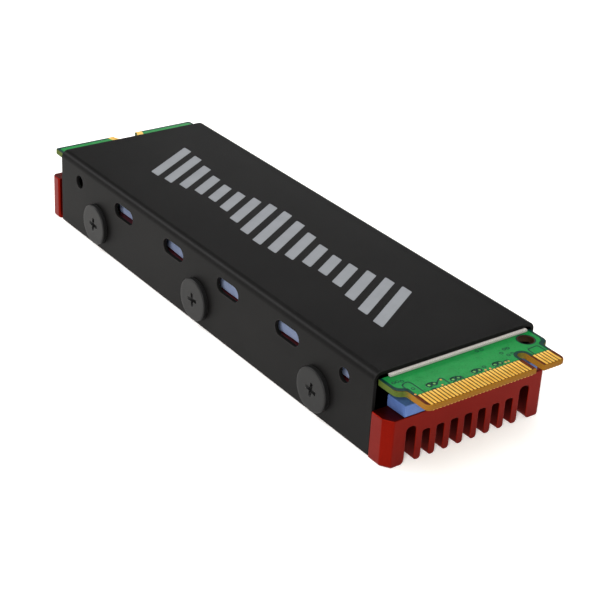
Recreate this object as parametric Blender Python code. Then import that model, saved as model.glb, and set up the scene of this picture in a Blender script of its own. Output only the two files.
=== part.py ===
"""A solid state drive: an M.2 2280 circuit board clamped between a finned heat sink and a folded cover.

The board lies flat with its contacts at +X. The heat sink, fins down, is below it and the cover is above.
Thermal pads fill the space on both faces of the board, and six screws hold the cover to the heat sink.
The origin is at the middle of the object's length and width, at the height of the fins' lower ends.
Lengths are in millimetres and become metres where a mesh is made.
"""

import math

import bmesh
import bpy
from mathutils import Matrix, Vector

MM = 0.001
SEAT_GAP = 0.03  # left between two pieces that touch
CUT_MARGIN = 1.0  # how far a cutter runs past the faces it cuts
ARC_STEP = 22.5  # degrees between the points of a small rounded corner

# Circuit board, an M.2 2280 card with an M key.
BOARD_LENGTH = 80.0
BOARD_WIDTH = 22.0
BOARD_THICKNESS = 0.8
BOARD_CORNER_RADIUS = 0.3
TONGUE_WIDTH = 19.85
TONGUE_LENGTH = 3.75
TONGUE_CORNER_RADIUS = 0.6
SHOULDER_RADIUS = 0.9
SHOULDER_INNER_RADIUS = 0.45
KEY_Y = 6.125
KEY_WIDTH = 1.2
KEY_DEPTH = 3.5
HALF_MOON_RADIUS = 1.75
LAND_RADIUS = 2.75
LAND_INSET = 0.1
LAND_HEIGHT = 0.03
TOOLING_HOLE_DIAMETER = 1.9
TOOLING_HOLE_FROM_TIP = 5.4
TOOLING_HOLE_Y = 8.9

# Heat sink.
SINK_LENGTH = 76.0
SINK_WAIST_WIDTH = 22.2
SINK_HEIGHT = 6.0
SINK_CORNER_RADIUS = 0.8
SINK_CHAMFER = (1.1, 0.75)  # of the front upright edges, along X and along Y
SINK_CHAMFER_RADIUS = 0.5
FIN_PITCH = 2.03
FIN_SLOT_WIDTH = 1.1
FIN_SLOT_COUNT = 7
FIN_SLOT_DEPTH = 3.6
FIN_TOP_RADIUS = 0.28
END_SLOT_WIDTH = 1.4
END_SLOT_Y = 8.3
END_SLOT_DEPTH = 4.6
END_SLOT_RADIUS = 0.55
FIN_TIP_RADIUS = 0.4
WALL_OUTER_RADIUS = 0.35
WALL_INNER_RADIUS = 0.7
ACCESS_NOTCH_WIDTH = 7.0
ACCESS_NOTCH_DEPTH = 4.5
ACCESS_NOTCH_RADIUS = 2.5

# Pads, chips and cover, stacked in height from the heat sink's flat face.
LOWER_PAD_THICKNESS = 1.5
LOWER_PAD_WIDTH = 20.0
LOWER_PAD_LENGTH = 69.0
LOWER_PAD_INSET = 0.05
CHIP_SPACE = 1.5
UPPER_PAD_THICKNESS = 0.4
UPPER_PAD_WIDTH = 20.1
UPPER_PAD_Y = 0.25
UPPER_PAD_INSET = 0.3
UPPER_PAD_OVERHANG = 0.4
PAD_CORNER_RADIUS = 0.2
SHEET = 0.5
COVER_LENGTH = 70.0
COVER_BEND_RADIUS = 1.0
COVER_WALL_BOTTOM = 0.3
COVER_SIDE_GAP = 0.05
COVER_FRONT_GAP = 0.05
COVER_BACK_GAP = 1.0

# Openings in the cover's walls, placed along the cover from its middle.
SLOT_OFFSETS = (-18.0, -5.65, 6.7, 19.05)
SLOT_LENGTH = 4.7
SLOT_HEIGHT = 2.0
VENT_OFFSETS = (-29.9, 29.9)
VENT_DIAMETER = 1.85
OPENING_HEIGHT = 7.9

# M2 wafer-head screws, three to a side.
SCREW_OFFSETS = (-25.0, 0.0, 25.0)
SCREW_HEIGHT = 3.65
SCREW_CLEARANCE_DIAMETER = 2.3
THREAD_DIAMETER = 2.0
THREAD_CLEARANCE = 0.05
HEAD_DIAMETER = 5.5
HEAD_THICKNESS = 0.65
HEAD_EDGE = 0.12
SCREW_SIDES = 32
SHANK_LENGTH = 2.6
SHANK_LEAD = 0.2
RECESS_SPAN = 1.9
RECESS_ARM_WIDTH = 0.42
RECESS_DEPTH = 0.4
RECESS_FLOOR_SHARE = 0.55

# Heights of the stack's faces.
SINK_TOP = SINK_HEIGHT
LOWER_PAD_TOP = SINK_TOP + LOWER_PAD_THICKNESS
BOARD_BOTTOM = LOWER_PAD_TOP + CHIP_SPACE
BOARD_TOP = BOARD_BOTTOM + BOARD_THICKNESS
COVER_INSIDE = BOARD_TOP + UPPER_PAD_THICKNESS
COVER_TOP = COVER_INSIDE + SHEET

# Ends along X. The heat sink and the board start together at the far end.
TIP_X = BOARD_LENGTH / 2
FAR_X = -BOARD_LENGTH / 2
SINK_FRONT_X = FAR_X + SINK_LENGTH
COVER_X = FAR_X + SINK_LENGTH / 2
COVER_FRONT_X = COVER_X + COVER_LENGTH / 2
COVER_BACK_X = COVER_X - COVER_LENGTH / 2
COVER_INNER_Y = SINK_WAIST_WIDTH / 2 + COVER_SIDE_GAP
COVER_OUTER_Y = COVER_INNER_Y + SHEET

# Parts soldered to the board's lower face: name, middle X, middle Y, size X, size Y, height.
PACKAGES = (
    ("controller_chip", 19.0, 0.0, 13.0, 13.0, 1.44),
    ("dram_chip", 4.5, 0.0, 9.0, 13.0, 1.44),
    ("nand_flash_1", -11.0, 0.0, 12.0, 18.0, 1.44),
    ("nand_flash_2", -26.5, 0.0, 12.0, 18.0, 1.44),
    ("power_management_chip", 29.8, -5.6, 4.0, 4.0, 0.85),
)
INDUCTORS = ((29.9, -1.4), (29.9, 2.2))
INDUCTOR_SIZE = (2.5, 2.0, 1.1)
CRYSTAL_PLACE = (30.0, 6.6)
CRYSTAL_SIZE = (2.5, 2.0, 0.6)
CAPACITORS_X = (26.7, 11.2, -3.0, -18.75)
CAPACITORS_Y = (-8.0, 8.0)
CAPACITOR_SIZE = (0.8, 1.6, 0.8)
RESISTORS_X = (0.5, 3.2, 5.9, 8.6)
RESISTOR_Y = -8.4
RESISTOR_SIZE = (1.0, 0.5, 0.35)
PACKAGE_CORNER_RADIUS = 0.15


def material(name, colour, roughness, metallic=0.0):
    """A plain finish with this colour."""
    made = bpy.data.materials.new(name)
    made.use_nodes = True
    shader = made.node_tree.nodes["Principled BSDF"]
    shader.inputs["Base Color"].default_value = (*colour, 1.0)
    shader.inputs["Roughness"].default_value = roughness
    shader.inputs["Metallic"].default_value = metallic
    return made


def add_object(name, mesh_builder, finish, smooth=True):
    """The object of a finished bmesh, with its faces facing out."""
    bmesh.ops.recalc_face_normals(mesh_builder, faces=mesh_builder.faces)
    mesh = bpy.data.meshes.new(name)
    mesh_builder.to_mesh(mesh)
    mesh_builder.free()
    if smooth:
        mesh.shade_smooth()
        mesh.set_sharp_from_angle(angle=math.radians(30))
    made = bpy.data.objects.new(name, mesh)
    bpy.context.scene.collection.objects.link(made)
    if finish:
        mesh.materials.append(finish)
    return made


def arc(centre, radius, start, end):
    """Points of a circle from one angle to another, in degrees."""
    count = max(2, round(abs(end - start) / ARC_STEP))
    angles = [math.radians(start + (end - start) * i / count) for i in range(count + 1)]
    return [(centre[0] + radius * math.cos(a), centre[1] + radius * math.sin(a)) for a in angles]


def rounded(corners):
    """An outline through corners given as (u, v, radius), each one rounded to its radius."""
    outline = []
    for i, (u, v, radius) in enumerate(corners):
        corner = Vector((u, v))
        if radius == 0:
            outline.append((u, v))
            continue
        back = (Vector(corners[i - 1][:2]) - corner).normalized()
        ahead = (Vector(corners[(i + 1) % len(corners)][:2]) - corner).normalized()
        half = back.angle(ahead) / 2
        centre = corner + (back + ahead).normalized() * radius / math.sin(half)
        first = corner + back * radius / math.tan(half) - centre
        last = corner + ahead * radius / math.tan(half) - centre
        start = math.degrees(math.atan2(first.y, first.x))
        turn = math.degrees(math.atan2(last.y, last.x)) - start
        turn = (turn + 180) % 360 - 180
        outline += arc(centre, radius, start, start + turn)
    return outline


def rectangle(width, height, radius, middle=(0.0, 0.0)):
    """The outline of a rectangle with rounded corners."""
    u, v = width / 2, height / 2
    signs = ((-1, -1), (1, -1), (1, 1), (-1, 1))
    return rounded([(middle[0] + a * u, middle[1] + b * v, radius) for a, b in signs])


def prism(outline, low, high, along="Z"):
    """A bmesh of an outline carried from low to high along an axis. The outline is in XY, YZ or XZ."""
    place = {
        "Z": lambda u, v, w: (u, v, w),
        "X": lambda u, v, w: (w, u, v),
        "Y": lambda u, v, w: (u, w, v),
    }[along]
    made = bmesh.new()
    ends = [[made.verts.new(Vector(place(u, v, w)) * MM) for u, v in outline] for w in (low, high)]
    made.faces.new(ends[0])
    made.faces.new(ends[1])
    for i in range(len(outline)):
        j = (i + 1) % len(outline)
        made.faces.new((ends[0][i], ends[0][j], ends[1][j], ends[1][i]))
    return made


def turned(profile, sides):
    """A bmesh of a profile of (radius, height) turned round Z. It starts and ends on the axis."""
    made = bmesh.new()
    start = made.verts.new((0, 0, profile[0][1] * MM))
    end = made.verts.new((0, 0, profile[-1][1] * MM))
    rings = []
    for radius, height in profile[1:-1]:
        angles = [2 * math.pi * i / sides for i in range(sides)]
        ring = [(radius * math.cos(a) * MM, radius * math.sin(a) * MM, height * MM) for a in angles]
        rings.append([made.verts.new(point) for point in ring])
    for i in range(sides):
        j = (i + 1) % sides
        made.faces.new((start, rings[0][i], rings[0][j]))
        made.faces.new((end, rings[-1][j], rings[-1][i]))
        for lower, upper in zip(rings, rings[1:]):
            made.faces.new((lower[i], lower[j], upper[j], upper[i]))
    return made


def cutter(name, mesh_builder, location=(0, 0, 0), rotation=(0, 0, 0)):
    """A hidden object for a Boolean to cut or join with."""
    made = add_object(name, mesh_builder, None, smooth=False)
    made.location = Vector(location) * MM
    made.rotation_euler = rotation
    made.hide_render = True
    made.display_type = "WIRE"
    return made


def cylinder_cutter(name, diameter, length, location, along="Z"):
    """A round cutter centred on its location."""
    outline = arc((0, 0), diameter / 2, 0, 360)[:-1]
    return cutter(name, prism(outline, -length / 2, length / 2, along), location)


def cut(target, tool, operation="DIFFERENCE"):
    """Cuts the target with a tool, or with another operation joins the two or keeps what they share."""
    modifier = target.modifiers.new(tool.name, "BOOLEAN")
    modifier.operation = operation
    modifier.solver = "EXACT"
    modifier.object = tool


def land_outline():
    """The plated land round the half-moon, where the standoff and the mounting screw's head bear."""
    inner, outer = HALF_MOON_RADIUS + LAND_INSET, LAND_RADIUS
    inner_end = math.degrees(math.acos(LAND_INSET / inner))
    outer_end = math.degrees(math.acos(LAND_INSET / outer))
    middle = (FAR_X, 0)
    return arc(middle, outer, -outer_end, outer_end) + arc(middle, inner, inner_end, -inner_end)


def make_circuit_board():
    """The board, with its contact tongue, key notch, half-moon, plated land and tooling hole."""
    shoulder_x = TIP_X - TONGUE_LENGTH
    half = BOARD_WIDTH / 2
    tongue = TONGUE_WIDTH / 2
    key_low, key_high = KEY_Y - KEY_WIDTH / 2, KEY_Y + KEY_WIDTH / 2
    key_x = TIP_X - KEY_DEPTH
    key_radius = KEY_WIDTH / 2 - 0.01
    half_moon = arc((FAR_X, 0), HALF_MOON_RADIUS, 90, -90)
    corners = [
        (FAR_X, -half, BOARD_CORNER_RADIUS),
        (shoulder_x, -half, SHOULDER_RADIUS),
        (shoulder_x, -tongue, SHOULDER_INNER_RADIUS),
        (TIP_X, -tongue, TONGUE_CORNER_RADIUS),
        (TIP_X, key_low, 0.0),
        (key_x, key_low, key_radius),
        (key_x, key_high, key_radius),
        (TIP_X, key_high, 0.0),
        (TIP_X, tongue, TONGUE_CORNER_RADIUS),
        (shoulder_x, tongue, SHOULDER_INNER_RADIUS),
        (shoulder_x, half, SHOULDER_RADIUS),
        (FAR_X, half, BOARD_CORNER_RADIUS),
    ]
    outline = rounded(corners + [(u, v, 0.0) for u, v in half_moon])
    finish = material("green_laminate", (0.02, 0.30, 0.09), 0.35)
    board = add_object("circuit_board", prism(outline, BOARD_BOTTOM, BOARD_TOP), finish)
    land = prism(land_outline(), BOARD_BOTTOM - LAND_HEIGHT, BOARD_TOP + LAND_HEIGHT)
    cut(board, cutter("land", land), "UNION")
    hole_place = (TIP_X - TOOLING_HOLE_FROM_TIP, TOOLING_HOLE_Y, BOARD_BOTTOM)
    cut(board, cylinder_cutter("tooling_hole", TOOLING_HOLE_DIAMETER, 2 * CUT_MARGIN + 1, hole_place))


def sink_profile():
    """The heat sink's full cross-section in Y and Z: a flat top, and fins between slots that open downwards."""
    half = COVER_OUTER_Y
    slots = [(-END_SLOT_Y, END_SLOT_WIDTH, END_SLOT_DEPTH, END_SLOT_RADIUS)]
    for i in range(FIN_SLOT_COUNT):
        y = (i - (FIN_SLOT_COUNT - 1) / 2) * FIN_PITCH
        slots.append((y, FIN_SLOT_WIDTH, FIN_SLOT_DEPTH, FIN_TOP_RADIUS))
    slots.append((END_SLOT_Y, END_SLOT_WIDTH, END_SLOT_DEPTH, END_SLOT_RADIUS))
    corners = [(-half, SINK_TOP, 0.0), (-half, 0.0, WALL_OUTER_RADIUS)]
    for i, (y, width, depth, radius) in enumerate(slots):
        first, last = i == 0, i == len(slots) - 1
        low, high = y - width / 2, y + width / 2
        corners.append((low, 0.0, WALL_INNER_RADIUS if first else FIN_TIP_RADIUS))
        corners.append((low, depth, radius))
        corners.append((high, depth, radius))
        corners.append((high, 0.0, WALL_INNER_RADIUS if last else FIN_TIP_RADIUS))
    corners += [(half, 0.0, WALL_OUTER_RADIUS), (half, SINK_TOP, 0.0)]
    return rounded(corners)


def sink_plan():
    """The heat sink seen from above: rounded at the far corners and chamfered at the front ones."""
    half = COVER_OUTER_Y
    along, across = SINK_CHAMFER
    corners = [
        (FAR_X, -half, SINK_CORNER_RADIUS),
        (SINK_FRONT_X - along, -half, SINK_CHAMFER_RADIUS),
        (SINK_FRONT_X, -half + across, SINK_CHAMFER_RADIUS),
        (SINK_FRONT_X, half - across, SINK_CHAMFER_RADIUS),
        (SINK_FRONT_X - along, half, SINK_CHAMFER_RADIUS),
        (FAR_X, half, SINK_CORNER_RADIUS),
    ]
    return rounded(corners)


def make_heat_sink():
    """The heat sink: a finned extrusion whose narrower waist takes the cover's walls, notched and tapped."""
    finish = material("red_anodised", (0.45, 0.03, 0.02), 0.45, 0.8)
    sink = add_object("heat_sink", prism(sink_profile(), FAR_X, SINK_FRONT_X, "X"), finish)
    rounding = cutter("upright_edges", prism(sink_plan(), -CUT_MARGIN, SINK_TOP + CUT_MARGIN))
    cut(sink, rounding, "INTERSECT")
    notch_plan = rectangle(2 * ACCESS_NOTCH_DEPTH, ACCESS_NOTCH_WIDTH, ACCESS_NOTCH_RADIUS, (FAR_X, 0))
    cut(sink, cutter("access_notch", prism(notch_plan, -CUT_MARGIN, SINK_TOP + CUT_MARGIN)))
    waist_low, waist_high = COVER_BACK_X - COVER_BACK_GAP, COVER_FRONT_X + COVER_FRONT_GAP
    waist_middle, waist_length = (waist_low + waist_high) / 2, waist_high - waist_low
    removed = COVER_OUTER_Y + CUT_MARGIN - SINK_WAIST_WIDTH / 2
    depth = SINK_WAIST_WIDTH / 2 - END_SLOT_Y
    for side in (-1, 1):
        middle = (waist_middle, side * (SINK_WAIST_WIDTH / 2 + removed / 2))
        waist = prism(rectangle(waist_length, removed, 0.0, middle), -CUT_MARGIN, SINK_TOP + CUT_MARGIN)
        cut(sink, cutter(f"waist_{side}", waist))
        for i, offset in enumerate(SCREW_OFFSETS):
            place = (COVER_X + offset, side * (END_SLOT_Y + depth / 2 + CUT_MARGIN / 2), SCREW_HEIGHT)
            name = f"tapped_hole_{side}_{i}"
            cut(sink, cylinder_cutter(name, THREAD_DIAMETER, depth + CUT_MARGIN, place, "Y"))


def make_cover():
    """The cover: one sheet folded to a U, with slots, round vents and screw holes through both walls."""
    y_out, y_in = COVER_OUTER_Y, COVER_INNER_Y
    inner_radius = COVER_BEND_RADIUS - SHEET
    corners = [
        (-y_out, COVER_WALL_BOTTOM, 0.0),
        (-y_in, COVER_WALL_BOTTOM, 0.0),
        (-y_in, COVER_INSIDE, inner_radius),
        (y_in, COVER_INSIDE, inner_radius),
        (y_in, COVER_WALL_BOTTOM, 0.0),
        (y_out, COVER_WALL_BOTTOM, 0.0),
        (y_out, COVER_TOP, COVER_BEND_RADIUS),
        (-y_out, COVER_TOP, COVER_BEND_RADIUS),
    ]
    finish = material("black_sheet", (0.02, 0.02, 0.02), 0.5, 0.3)
    cover = add_object("cover", prism(rounded(corners), COVER_BACK_X, COVER_FRONT_X, "X"), finish)
    through = 2 * (COVER_OUTER_Y + CUT_MARGIN)
    for i, offset in enumerate(SLOT_OFFSETS):
        outline = rectangle(SLOT_LENGTH, SLOT_HEIGHT, SLOT_HEIGHT / 2 - 0.01)
        place = (COVER_X + offset, 0, OPENING_HEIGHT)
        cut(cover, cutter(f"slot_{i}", prism(outline, -through / 2, through / 2, "Y"), place))
    for i, offset in enumerate(VENT_OFFSETS):
        place = (COVER_X + offset, 0, OPENING_HEIGHT)
        cut(cover, cylinder_cutter(f"vent_{i}", VENT_DIAMETER, through, place, "Y"))
    for i, offset in enumerate(SCREW_OFFSETS):
        place = (COVER_X + offset, 0, SCREW_HEIGHT)
        cut(cover, cylinder_cutter(f"screw_hole_{i}", SCREW_CLEARANCE_DIAMETER, through, place, "Y"))


def make_pad(name, ends, middle_y, width, bottom, thickness, finish):
    """A thermal pad, a flat slab with slightly rounded corners. The ends are its lowest and highest X."""
    low_x, high_x = ends
    outline = rectangle(high_x - low_x, width, PAD_CORNER_RADIUS, ((low_x + high_x) / 2, middle_y))
    add_object(name, prism(outline, bottom + SEAT_GAP, bottom + thickness - SEAT_GAP), finish)


def make_pads():
    """The lower pad between heat sink and chips, and the thin upper pad between board and cover."""
    blue = material("blue_silicone", (0.13, 0.20, 0.55), 0.6)
    front = SINK_FRONT_X - LOWER_PAD_INSET
    ends = (front - LOWER_PAD_LENGTH, front)
    make_pad("lower_thermal_pad", ends, 0, LOWER_PAD_WIDTH, SINK_TOP, LOWER_PAD_THICKNESS, blue)
    grey = material("grey_silicone", (0.6, 0.6, 0.57), 0.7)
    ends = (COVER_BACK_X + UPPER_PAD_INSET, COVER_FRONT_X + UPPER_PAD_OVERHANG)
    make_pad("upper_thermal_pad", ends, UPPER_PAD_Y, UPPER_PAD_WIDTH, BOARD_TOP, UPPER_PAD_THICKNESS, grey)


def make_package(name, place, size, finish):
    """A part soldered to the board's lower face: a box with slightly rounded upright edges."""
    outline = rectangle(size[0], size[1], PACKAGE_CORNER_RADIUS, place)
    top = BOARD_BOTTOM - SEAT_GAP
    add_object(name, prism(outline, top - size[2], top), finish)


def make_soldered_parts():
    """Every chip and small part on the board's lower face."""
    moulding = material("black_moulding", (0.02, 0.02, 0.022), 0.55)
    for name, x, y, length, width, height in PACKAGES:
        make_package(name, (x, y), (length, width, height), moulding)
    ferrite = material("grey_ferrite", (0.12, 0.12, 0.12), 0.6)
    for i, place in enumerate(INDUCTORS):
        make_package(f"inductor_{i + 1}", place, INDUCTOR_SIZE, ferrite)
    can = material("crystal_can", (0.7, 0.68, 0.62), 0.3, 1.0)
    make_package("crystal", CRYSTAL_PLACE, CRYSTAL_SIZE, can)
    ceramic = material("tan_ceramic", (0.42, 0.30, 0.18), 0.5)
    places = [(x, y) for x in CAPACITORS_X for y in CAPACITORS_Y]
    for i, place in enumerate(places):
        make_package(f"capacitor_{i + 1}", place, CAPACITOR_SIZE, ceramic)
    film = material("resistor_film", (0.04, 0.04, 0.05), 0.5)
    for i, x in enumerate(RESISTORS_X):
        make_package(f"resistor_{i + 1}", (x, RESISTOR_Y), RESISTOR_SIZE, film)


def recess_arm(angle):
    """One tapered bar of a cross recess, open at the head's face. The floor is shorter than the mouth."""
    made = bmesh.new()
    rings = []
    for height, share in ((-RECESS_DEPTH, RECESS_FLOOR_SHARE), (CUT_MARGIN, 1.0)):
        u, v = RECESS_SPAN / 2 * share, RECESS_ARM_WIDTH / 2 * share
        ring = ((-u, -v), (u, -v), (u, v), (-u, v))
        rings.append([made.verts.new(Vector((a, b, height)) * MM) for a, b in ring])
    made.faces.new(rings[0])
    made.faces.new(rings[1])
    for i in range(4):
        j = (i + 1) % 4
        made.faces.new((rings[0][i], rings[0][j], rings[1][j], rings[1][i]))
    turn = Matrix.Rotation(math.radians(angle), 4, "Z")
    bmesh.ops.transform(made, matrix=turn, verts=made.verts)
    return made


def make_screw(name, side, offset, finish):
    """A wafer-head screw. Its origin is at the head's underside, on the screw's axis."""
    head, shank = HEAD_DIAMETER / 2, THREAD_DIAMETER / 2 - THREAD_CLEARANCE
    profile = [
        (0.0, -SHANK_LENGTH),
        (shank - SHANK_LEAD, -SHANK_LENGTH),
        (shank, SHANK_LEAD - SHANK_LENGTH),
        (shank, 0.0),
        (head, 0.0),
        (head, HEAD_THICKNESS - HEAD_EDGE),
        (head - HEAD_EDGE, HEAD_THICKNESS),
        (0.0, HEAD_THICKNESS),
    ]
    outward = (-side * math.pi / 2, 0, 0)
    place = (COVER_X + offset, side * (COVER_OUTER_Y + SEAT_GAP), SCREW_HEIGHT)
    screw = add_object(name, turned(profile, SCREW_SIDES), finish)
    screw.location = Vector(place) * MM
    screw.rotation_euler = outward
    face = (place[0], place[1] + side * HEAD_THICKNESS, place[2])
    for angle in (0, 90):
        cut(screw, cutter(f"{name}_recess_{angle}", recess_arm(angle), face, outward))


def make_screws():
    """Six screws, three on each side."""
    finish = material("black_steel", (0.06, 0.06, 0.06), 0.4, 0.9)
    for side, side_name in ((-1, "left"), (1, "right")):
        for i, offset in enumerate(SCREW_OFFSETS):
            make_screw(f"screw_{side_name}_{i + 1}", side, offset, finish)


def main():
    for old in list(bpy.data.objects):
        bpy.data.objects.remove(old)
    make_heat_sink()
    make_pads()
    make_soldered_parts()
    make_circuit_board()
    make_cover()
    make_screws()


main()
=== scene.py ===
"""The looks of the solid state drive: an M.2 board between a red finned heat sink and a black folded cover.

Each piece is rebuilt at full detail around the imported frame. Lengths are in millimetres, in the frame's own
axes, and become metres where a mesh is made.
"""

import math

import bmesh
import bpy
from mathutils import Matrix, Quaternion, Vector


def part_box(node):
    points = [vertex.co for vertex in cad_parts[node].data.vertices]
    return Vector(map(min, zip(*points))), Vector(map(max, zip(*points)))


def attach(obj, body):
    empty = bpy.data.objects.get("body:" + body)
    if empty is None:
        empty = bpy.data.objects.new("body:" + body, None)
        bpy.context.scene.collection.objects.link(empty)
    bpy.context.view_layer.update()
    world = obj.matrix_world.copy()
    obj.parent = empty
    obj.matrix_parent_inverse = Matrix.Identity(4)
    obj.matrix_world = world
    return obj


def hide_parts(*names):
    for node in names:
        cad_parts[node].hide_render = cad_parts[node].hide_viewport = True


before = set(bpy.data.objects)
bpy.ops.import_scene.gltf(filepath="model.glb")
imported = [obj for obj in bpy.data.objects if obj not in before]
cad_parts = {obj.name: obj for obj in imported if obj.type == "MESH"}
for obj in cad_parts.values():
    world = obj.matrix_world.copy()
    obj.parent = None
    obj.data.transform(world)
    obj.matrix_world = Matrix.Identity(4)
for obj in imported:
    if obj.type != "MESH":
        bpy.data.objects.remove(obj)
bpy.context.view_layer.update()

MM = 0.001


def box_mm(node):
    """The lowest and highest corner of a CAD node, in millimetres."""
    low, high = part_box(node)
    return low / MM, high / MM


SINK_LOW, SINK_HIGH = box_mm("heat_sink")
COVER_LOW, COVER_HIGH = box_mm("cover")
BOARD_LOW, BOARD_HIGH = box_mm("circuit_board")
LOWER_PAD_LOW, LOWER_PAD_HIGH = box_mm("lower_thermal_pad")
UPPER_PAD_LOW, UPPER_PAD_HIGH = box_mm("upper_thermal_pad")
SCREW_LOW, SCREW_HIGH = box_mm("screw_left_1")

# Heat sink.
FIN_PITCH = 2.03
FIN_SLOT_WIDTH = 1.1
FIN_SLOT_COUNT = 7
FIN_SLOT_DEPTH = 3.6
FIN_TOP_RADIUS = 0.28
END_SLOT_WIDTH = 1.4
END_SLOT_Y = 8.3
END_SLOT_DEPTH = 4.6
END_SLOT_RADIUS = 0.55
FIN_TIP_RADIUS = 0.4
WALL_OUTER_RADIUS = 0.35
WALL_INNER_RADIUS = 0.7
WAIST_WIDTH = 22.2
WAIST_FRONT_GAP = 0.05  # between the cover and the wide end in front of it
WAIST_BACK_GAP = 1.0
WAIST_SLANT = 0.02
FAR_CORNER_RADIUS = 0.8
FRONT_CHAMFER = (1.1, 0.75)  # along X and along Y
FRONT_CHAMFER_RADIUS = 0.3
TOP_EDGE = 0.14
SINK_EDGE = 0.08
ACCESS_NOTCH_WIDTH = 7.0
ACCESS_NOTCH_DEPTH = 4.5
ACCESS_NOTCH_RADIUS = 2.5
TAPPED_HOLE_DIAMETER = 2.0

# Cover.
SHEET = 0.5
COVER_BEND_RADIUS = 1.0
COVER_EDGE = 0.07
OPENING_EDGE = 0.05
SLOT_OFFSETS = (-18.0, -5.65, 6.7, 19.05)
SLOT_LENGTH = 4.7
SLOT_HEIGHT = 2.0
VENT_OFFSETS = (-29.9, 29.9)
VENT_DIAMETER = 1.85
OPENING_HEIGHT = 7.9
SCREW_OFFSETS = (-25.0, 0.0, 25.0)
SCREW_CLEARANCE_DIAMETER = 2.3
PRINT_ALLOWANCE = 0.02

# Print on the cover.
PRINT_THICKNESS = 0.012
PRINT_EDGE = 0.004
PRINT_Y = -0.35
BAR_COUNT = 17
BAR_WIDTH = 1.75
BAR_SPAN = (-26.5, 22.0)
BAR_HALF_LENGTH = 4.2
BAR_SHORTEST = 0.5  # of the longest
BAR_SLANT = 0.6
BAR_CORNER_RADIUS = 0.12

# Board.
LAND_HEIGHT = 0.03
BOARD_CORNER_RADIUS = 0.3
TONGUE_WIDTH = 19.85
TONGUE_LENGTH = 3.75
TONGUE_CORNER_RADIUS = 0.6
# Steps of the chamfer, as (rise, distance back, inset).
TONGUE_CHAMFER = ((0.0, 0.12, 0.04), (0.03, 0.09, 0.0), (0.12, 0.02, 0.0), (0.18, 0.0, 0.0))
SHOULDER_RADIUS = 0.9
SHOULDER_INNER_RADIUS = 0.45
KEY_Y = 6.125
KEY_WIDTH = 1.2
KEY_DEPTH = 3.5
HALF_MOON_RADIUS = 1.75
LAND_RADIUS = 2.75
LAND_INSET = 0.1
TOOLING_HOLE_DIAMETER = 1.9
TOOLING_HOLE_FROM_TIP = 5.4
TOOLING_HOLE_Y = 8.9
MASK_THICKNESS = 0.03
MASK_INSET = 0.04
COPPER_INSET = 0.45
COPPER_RELIEF = 0.012
CONTACT_PITCH = 0.5
CONTACT_WIDTH = 0.34
CONTACT_ROOT = 2.3
CONTACT_END = 0.1
CONTACT_THICKNESS = 0.035

# Soldered parts.
SEAT = 0.03  # what the solder fills between a part and the board
BALL_PITCH = 0.8
PACKAGE_BASE = (0.42, 0.2)  # the substrate's lower and upper faces, down from the part's top
PIN_DIMPLE_FROM_CORNER = 1.0

# Screws.
HEAD_DIAMETER = 5.5
HEAD_THICKNESS = 0.65
THREAD_RADIUS = 0.95
THREAD_ROOT_RADIUS = 0.74
THREAD_PITCH = 0.4
SHANK_LENGTH = 2.6
RECESS_SPAN = 2.0
RECESS_ARM_WIDTH = 0.52
RECESS_DEPTH = 0.4
SCREW_TURNS = (4.0, -6.0, 9.0)  # degrees

# Places that follow from the frame.
COVER_X = (COVER_LOW.x + COVER_HIGH.x) / 2
TIP_X = BOARD_HIGH.x
FAR_X = BOARD_LOW.x
BOARD_BOTTOM = BOARD_LOW.z + LAND_HEIGHT
BOARD_TOP = BOARD_HIGH.z - LAND_HEIGHT
COVER_TOP = COVER_HIGH.z - PRINT_ALLOWANCE
SCREW_Z = (SCREW_LOW.z + SCREW_HIGH.z) / 2


# ---------------------------------------------------------------- outlines


def arc(centre, radius, start, end, steps=8):
    """Points of a circle from one angle to another, in degrees."""
    angles = [math.radians(start + (end - start) * i / steps) for i in range(steps + 1)]
    return [(centre[0] + radius * math.cos(a), centre[1] + radius * math.sin(a)) for a in angles]


def rounded(corners, steps=6):
    """An outline through corners given as (u, v, radius), each one rounded to its radius."""
    outline = []
    for i, (u, v, radius) in enumerate(corners):
        corner = Vector((u, v))
        if radius == 0:
            outline.append((u, v))
            continue
        back = (Vector(corners[i - 1][:2]) - corner).normalized()
        ahead = (Vector(corners[(i + 1) % len(corners)][:2]) - corner).normalized()
        half = back.angle(ahead) / 2
        centre = corner + (back + ahead).normalized() * radius / math.sin(half)
        first = corner + back * radius / math.tan(half) - centre
        last = corner + ahead * radius / math.tan(half) - centre
        start = math.degrees(math.atan2(first.y, first.x))
        turn = math.degrees(math.atan2(last.y, last.x)) - start
        turn = (turn + 180) % 360 - 180
        outline += arc(centre, radius, start, start + turn, steps)
    return outline


def rectangle(width, height, radius, middle=(0.0, 0.0), steps=6):
    """The outline of a rectangle with rounded corners."""
    u, v = width / 2, height / 2
    signs = ((-1, -1), (1, -1), (1, 1), (-1, 1))
    return rounded([(middle[0] + a * u, middle[1] + b * v, radius) for a, b in signs], steps)


def circle(diameter, middle=(0.0, 0.0), sides=40):
    """The outline of a circle."""
    return arc(middle, diameter / 2, 0, 360, sides)[:-1]


def offset(outline, distance):
    """An outline moved outwards by a distance, or inwards by a negative one. It runs anticlockwise."""
    moved = []
    count = len(outline)
    for i in range(count):
        here = Vector(outline[i])
        before = (here - Vector(outline[i - 1])).normalized()
        after = (Vector(outline[(i + 1) % count]) - here).normalized()
        normal = Vector((before.y + after.y, -before.x - after.x))
        share = normal.length_squared / 2
        point = here + normal * (distance / max(share, 0.2))
        moved.append((point.x, point.y))
    return moved


# ---------------------------------------------------------------- meshes


PLACING = {
    "Z": lambda u, v, w: (u, v, w),
    "X": lambda u, v, w: (w, u, v),
    "Y": lambda u, v, w: (u, w, v),
}


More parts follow.
